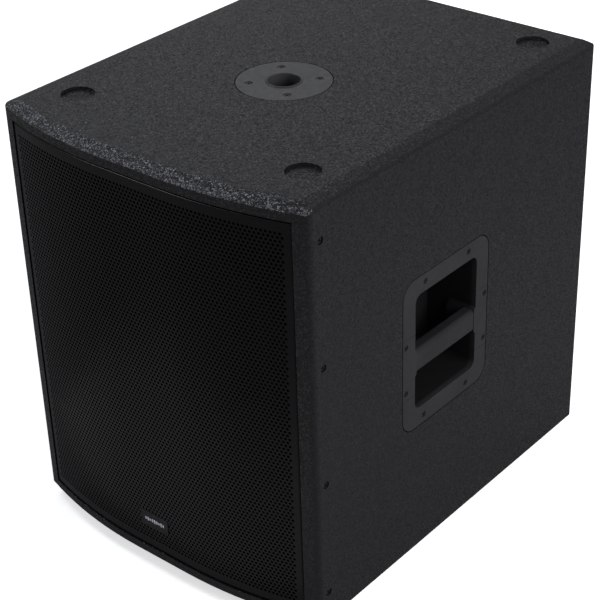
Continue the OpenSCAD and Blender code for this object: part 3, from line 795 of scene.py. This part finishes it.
def add_screws():
    for side, direction in (("left", -1), ("right", 1)):
        for kind, head_h, shank_r in (("handle", 1.6, 1.9), ("grille", 2.6, 2.5)):
            node = f"{side}_{kind}_screws"
            places, head_r, length = [], 0, 0
            for low, high in islands(node):
                middle = (low + high) / 2
                face = high.x if direction > 0 else low.x
                places.append((face - direction * head_h * MM, middle.y, middle.z))
                head_r = (high.z - low.z) / 2
                length = high.x - low.x - head_h * MM
            screw_set(f"{node}_set", node, places, (direction, 0, 0), head_r, head_h * MM, shank_r * MM,
                      length)
    pan_screws = (("pole_socket_screws", "pole_socket_screw_set", Vector((0, 0, 1))),
                  ("terminal_screws", "terminal_screw_set", Vector((0, 1, 0))))
    for node, name, outward in pan_screws:
        places = []
        for low, high in islands(node):
            half = (high - low) / 2
            places.append(low + half + outward * (half.dot(outward) - PAN_SEAT))
        screw_set(name, node, places, outward, PAN_HEAD_R, PAN_HEAD_H, PAN_SHANK_R, PAN_LENGTH)


# ---------- badge ----------


def rounded_outline(width, height, radius, steps=6):
    points = []
    for quarter, (i, j) in enumerate(((1, 1), (-1, 1), (-1, -1), (1, -1))):
        for k in range(steps + 1):
            angle = math.pi / 2 * (quarter + k / steps)
            points.append((i * (width / 2 - radius) + radius * math.cos(angle),
                           j * (height / 2 - radius) + radius * math.sin(angle)))
    return points


def lid(outline, levels):
    """Closed solid from an outline: levels are (inset, height) pairs, from the seat up to the top."""
    verts, faces, rings = [], [], []
    widest = max(abs(point[0]) for point in outline)
    tallest = max(abs(point[1]) for point in outline)
    for inset, height in levels:
        rings.append(list(range(len(verts), len(verts) + len(outline))))
        verts += [Vector((x * (1 - inset / widest), y * (1 - inset / tallest), height)) for x, y in outline]
    for a, b in zip(rings, rings[1:]):
        faces += ring_faces(a, b)
    faces += [tuple(rings[0][::-1]), tuple(rings[-1])]
    return verts, faces


BADGE_CORNER = 1.5 * MM
BAR_HEIGHTS = (4.0, 5.4, 3.4, 4.6, 5.8, 4.6, 3.4, 5.4, 4.0)
BAR_WIDTH = 2.3 * MM
BAR_PITCH = 3.4 * MM
BAR_CORNER = 0.9 * MM


def add_badge():
    """Plate with a raised border, and a row of bars on its face."""
    low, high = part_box("badge")
    middle = (low + high) / 2
    size = high - low
    face = size.y * 0.8
    turn = Matrix.Translation((middle.x, high.y, middle.z)) @ Matrix.Rotation(math.pi / 2, 4, "X")
    plate = lid(rounded_outline(size.x, size.z, BADGE_CORNER),
                [(0, 0), (0, size.y * 0.7), (0.15 * MM, size.y * 0.92), (0.35 * MM, size.y),
                 (1.3 * MM, size.y), (1.5 * MM, face), (2.0 * MM, face)])
    make_piece("badge_plate", placed(plate[0], turn), plate[1], BADGE, ["badge"])
    bars = []
    for k, tall in enumerate(BAR_HEIGHTS):
        bar = lid(rounded_outline(BAR_WIDTH, tall * MM, BAR_CORNER, 3),
                  [(0, 0), (0, 0.12 * MM), (0.1 * MM, 0.18 * MM)])
        shift = Matrix.Translation(((k - len(BAR_HEIGHTS) // 2) * BAR_PITCH, 0, face))
        bars.append((placed(bar[0], turn @ shift), bar[1]))
    verts, faces = joined(bars)
    make_piece("badge_motif", verts, faces, MARK)


# ---------- driver suspension ----------


def driver_frame():
    """Driver coordinates: the axis is local +Z, pointing into the box, and the baffle's face is z = 0."""
    low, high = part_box("driver_gasket")
    return Matrix.Translation(((low.x + high.x) / 2, high.y, (low.z + high.z) / 2)) @ Matrix.Rotation(
        -math.pi / 2, 4, "X")


def radial_blend(piece, centre, inner, outer):
    """Bakes the piece's placement into its mesh; the piece stays fixed."""
    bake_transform(piece)


def add_ring(name, profile, steps, look, node, reach):
    """A closed profile turned round the driver's axis, held fixed; reach is not used."""
    frame_matrix = driver_frame()
    verts, faces = revolve(profile, steps, close=True)
    made = make_piece(name, placed(verts, frame_matrix), faces, look, [node], body=None)
    radial_blend(made, frame_matrix.translation, *reach)


ROLL_R = 7.9 * MM
ROLL_T = 1.0 * MM
ROLL_MIDDLE = 163.9 * MM
ROLL_INNER = 154.6 * MM
ROLL_OUTER = 172.0 * MM
ROLL_SEAT = 2.65 * MM

SPIDER_INNER = 50.8 * MM
SPIDER_OUTER = 81 * MM
SPIDER_LEVEL = 87.5 * MM
SPIDER_SWING = 2.9 * MM
SPIDER_CLOTH = 0.5 * MM
SPIDER_WAVES = 2.5
SPIDER_STEPS = 72


def add_suspension():
    arc = [math.pi * k / 14 for k in range(15)]
    inside = ROLL_R - ROLL_T
    profile = [(ROLL_INNER, ROLL_SEAT)]
    profile += [(ROLL_MIDDLE - ROLL_R * math.cos(a), ROLL_SEAT - ROLL_R * math.sin(a)) for a in arc]
    profile += [(ROLL_OUTER, ROLL_SEAT), (ROLL_OUTER, ROLL_SEAT - ROLL_T)]
    profile += [(ROLL_MIDDLE + inside * math.cos(a), ROLL_SEAT - inside * math.sin(a)) for a in arc[1:-1]]
    profile += [(ROLL_INNER, ROLL_SEAT - ROLL_T)]
    add_ring("surround_roll", profile, 120, ROLL, "surround", (156 * MM, 171.8 * MM))
    wave = []
    for k in range(SPIDER_STEPS + 1):
        along = k / SPIDER_STEPS
        wave.append((SPIDER_INNER + (SPIDER_OUTER - SPIDER_INNER) * along,
                     SPIDER_LEVEL - SPIDER_SWING * math.sin(2 * math.pi * SPIDER_WAVES * along)))
    profile = [(r, z - SPIDER_CLOTH / 2) for r, z in wave]
    profile += [(r, z + SPIDER_CLOTH / 2) for r, z in reversed(wave)]
    add_ring("spider_disc", profile, 96, SPIDER, "spider", (52 * MM, 80 * MM))


LEAD_R = 0.9 * MM
LEAD_HALF_GAP = 7
LEAD_ROUTE = ((74, 56), (78, 62.5), (84, 70), (89.5, 74), (93, 77.5), (93.8, 83), (94, 89.6))


def add_leads():
    """Tinsel leads: two braided wires from the cone to the terminals. The route is radius, depth in mm."""
    frame_matrix = driver_frame()
    strands = []
    for side in (-1, 1):
        path = [Vector((side * LEAD_HALF_GAP, r, z)) * MM for r, z in LEAD_ROUTE]
        strands.append(braid(path, LEAD_R))
    verts, faces = joined(strands)
    leads = make_piece("tinsel_braids", placed(verts, frame_matrix), faces, COPPER,
                       ["tinsel_leads"], body=None)
    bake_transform(leads)


def smooth_path(path, steps=8):
    """Points along a smooth curve through the path's corners."""
    points = []
    for k in range(len(path) - 1):
        before, after = path[max(0, k - 1)], path[min(len(path) - 1, k + 2)]
        a, b = path[k], path[k + 1]
        for m in range(steps):
            t = m / steps
            points.append(0.5 * (2 * a + (b - before) * t + (2 * before - 5 * a + 4 * b - after) * t * t
                                 + (3 * a - before - 3 * b + after) * t ** 3))
    return points + [path[-1]]


def braid(path, radius, sides=10, lay=0.5):
    """Tube of a few crossing strands along a smoothed path."""
    points = smooth_path(path)
    verts, faces, rings = [], [], []
    for k, point in enumerate(points):
        ahead = points[min(k + 1, len(points) - 1)] - points[max(k - 1, 0)]
        side = ahead.cross(Vector((1, 0, 0))).normalized()
        other = ahead.cross(side).normalized()
        rings.append(list(range(len(verts), len(verts) + sides)))
        for m in range(sides):
            angle = 2 * math.pi * m / sides
            reach = radius * (1 + 0.12 * math.sin(5 * angle + lay * k) * math.sin(5 * angle - lay * k))
            verts.append(point + reach * (math.cos(angle) * side + math.sin(angle) * other))
    for a, b in zip(rings, rings[1:]):
        faces += ring_faces(a, b)
    faces += [tuple(rings[0][::-1]), tuple(rings[-1])]
    return verts, faces


# ---------- damping ----------

LINING_CUTS = 34
LINING_SOFT_EDGE = 20 * MM
LINING_LUMPS = 26
LINING_RIPPLE = 2.2 * MM


def add_lining(node):
    """A batt of loose wadding with a lumpy surface and soft edges."""
    low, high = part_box(node)
    size = high - low
    centre = (low + high) / 2
    thin = min(range(3), key=lambda a: size[a])
    wide = [a for a in range(3) if a != thin]
    form = bmesh.new()
    bmesh.ops.create_cube(form, size=1.0)
    bmesh.ops.subdivide_edges(form, edges=form.edges, cuts=LINING_CUTS, use_grid_fill=True)
    for vertex in form.verts:
        p = Vector(vertex.co)
        edge = min((0.5 - abs(p[a])) * size[a] for a in wide)
        crown = min(1.0, max(0.0, edge) / LINING_SOFT_EDGE)
        crown = 0.45 + 0.55 * math.sin(crown * math.pi / 2)
        place = Vector([p[a] * size[a] * 0.985 for a in range(3)])
        lump = noise.fractal(place * LINING_LUMPS, 1.0, 2.0, 4) * 0.10
        place[thin] = p[thin] * size[thin] * (0.86 * crown + lump)
        for a in wide:
            place[a] += LINING_RIPPLE * noise.noise(place * 40 + Vector((7 * a, 3, 1)))
        vertex.co = centre + place
    mesh = bpy.data.meshes.new(f"{node}_batt")
    form.to_mesh(mesh)
    form.free()
    batt = finish_piece(f"{node}_batt", mesh, WADDING, [node], smooth_angle=180)


# ---------- scene ----------

add_camera()
add_world(0.24, 1.0)
add_softbox("key", (-0.60, -0.10, 0.80), 2.6, (0.8, 0.8), 16.5, (0.83, 0.89, 1.0))
add_softbox("front_left", (-0.56, -0.67, 0.48), 2.6, (0.7, 0.7), 11, (0.94, 0.96, 1.0))
add_softbox("rear_left", (-0.62, 0.62, 0.54), 2.8, (0.8, 0.8), 2.0, (0.93, 0.96, 1.0))
add_softbox("right_side", (0.85, 0.0, 0.46), 1.9, (1.2, 0.8), 33, (0.96, 0.98, 1.0), glossy=False)
add_softbox("rear", (-0.30, 0.95, 0.12), 2.4, (0.9, 0.8), 12, glossy=False)
add_softbox("floor_glow", (0.0, 0.0, -1.0), 0.295, (0.6, 0.3), 0.1, target=(-0.11, -0.46, 0.3))
bpy.context.scene.view_settings.view_transform = "Standard"

add_floor()
add_grille()
add_screws()
add_badge()
add_suspension()
add_leads()
for lining in ("left_lining", "right_lining", "rear_lining"):
    add_lining(lining)

bpy.context.view_layer.update()
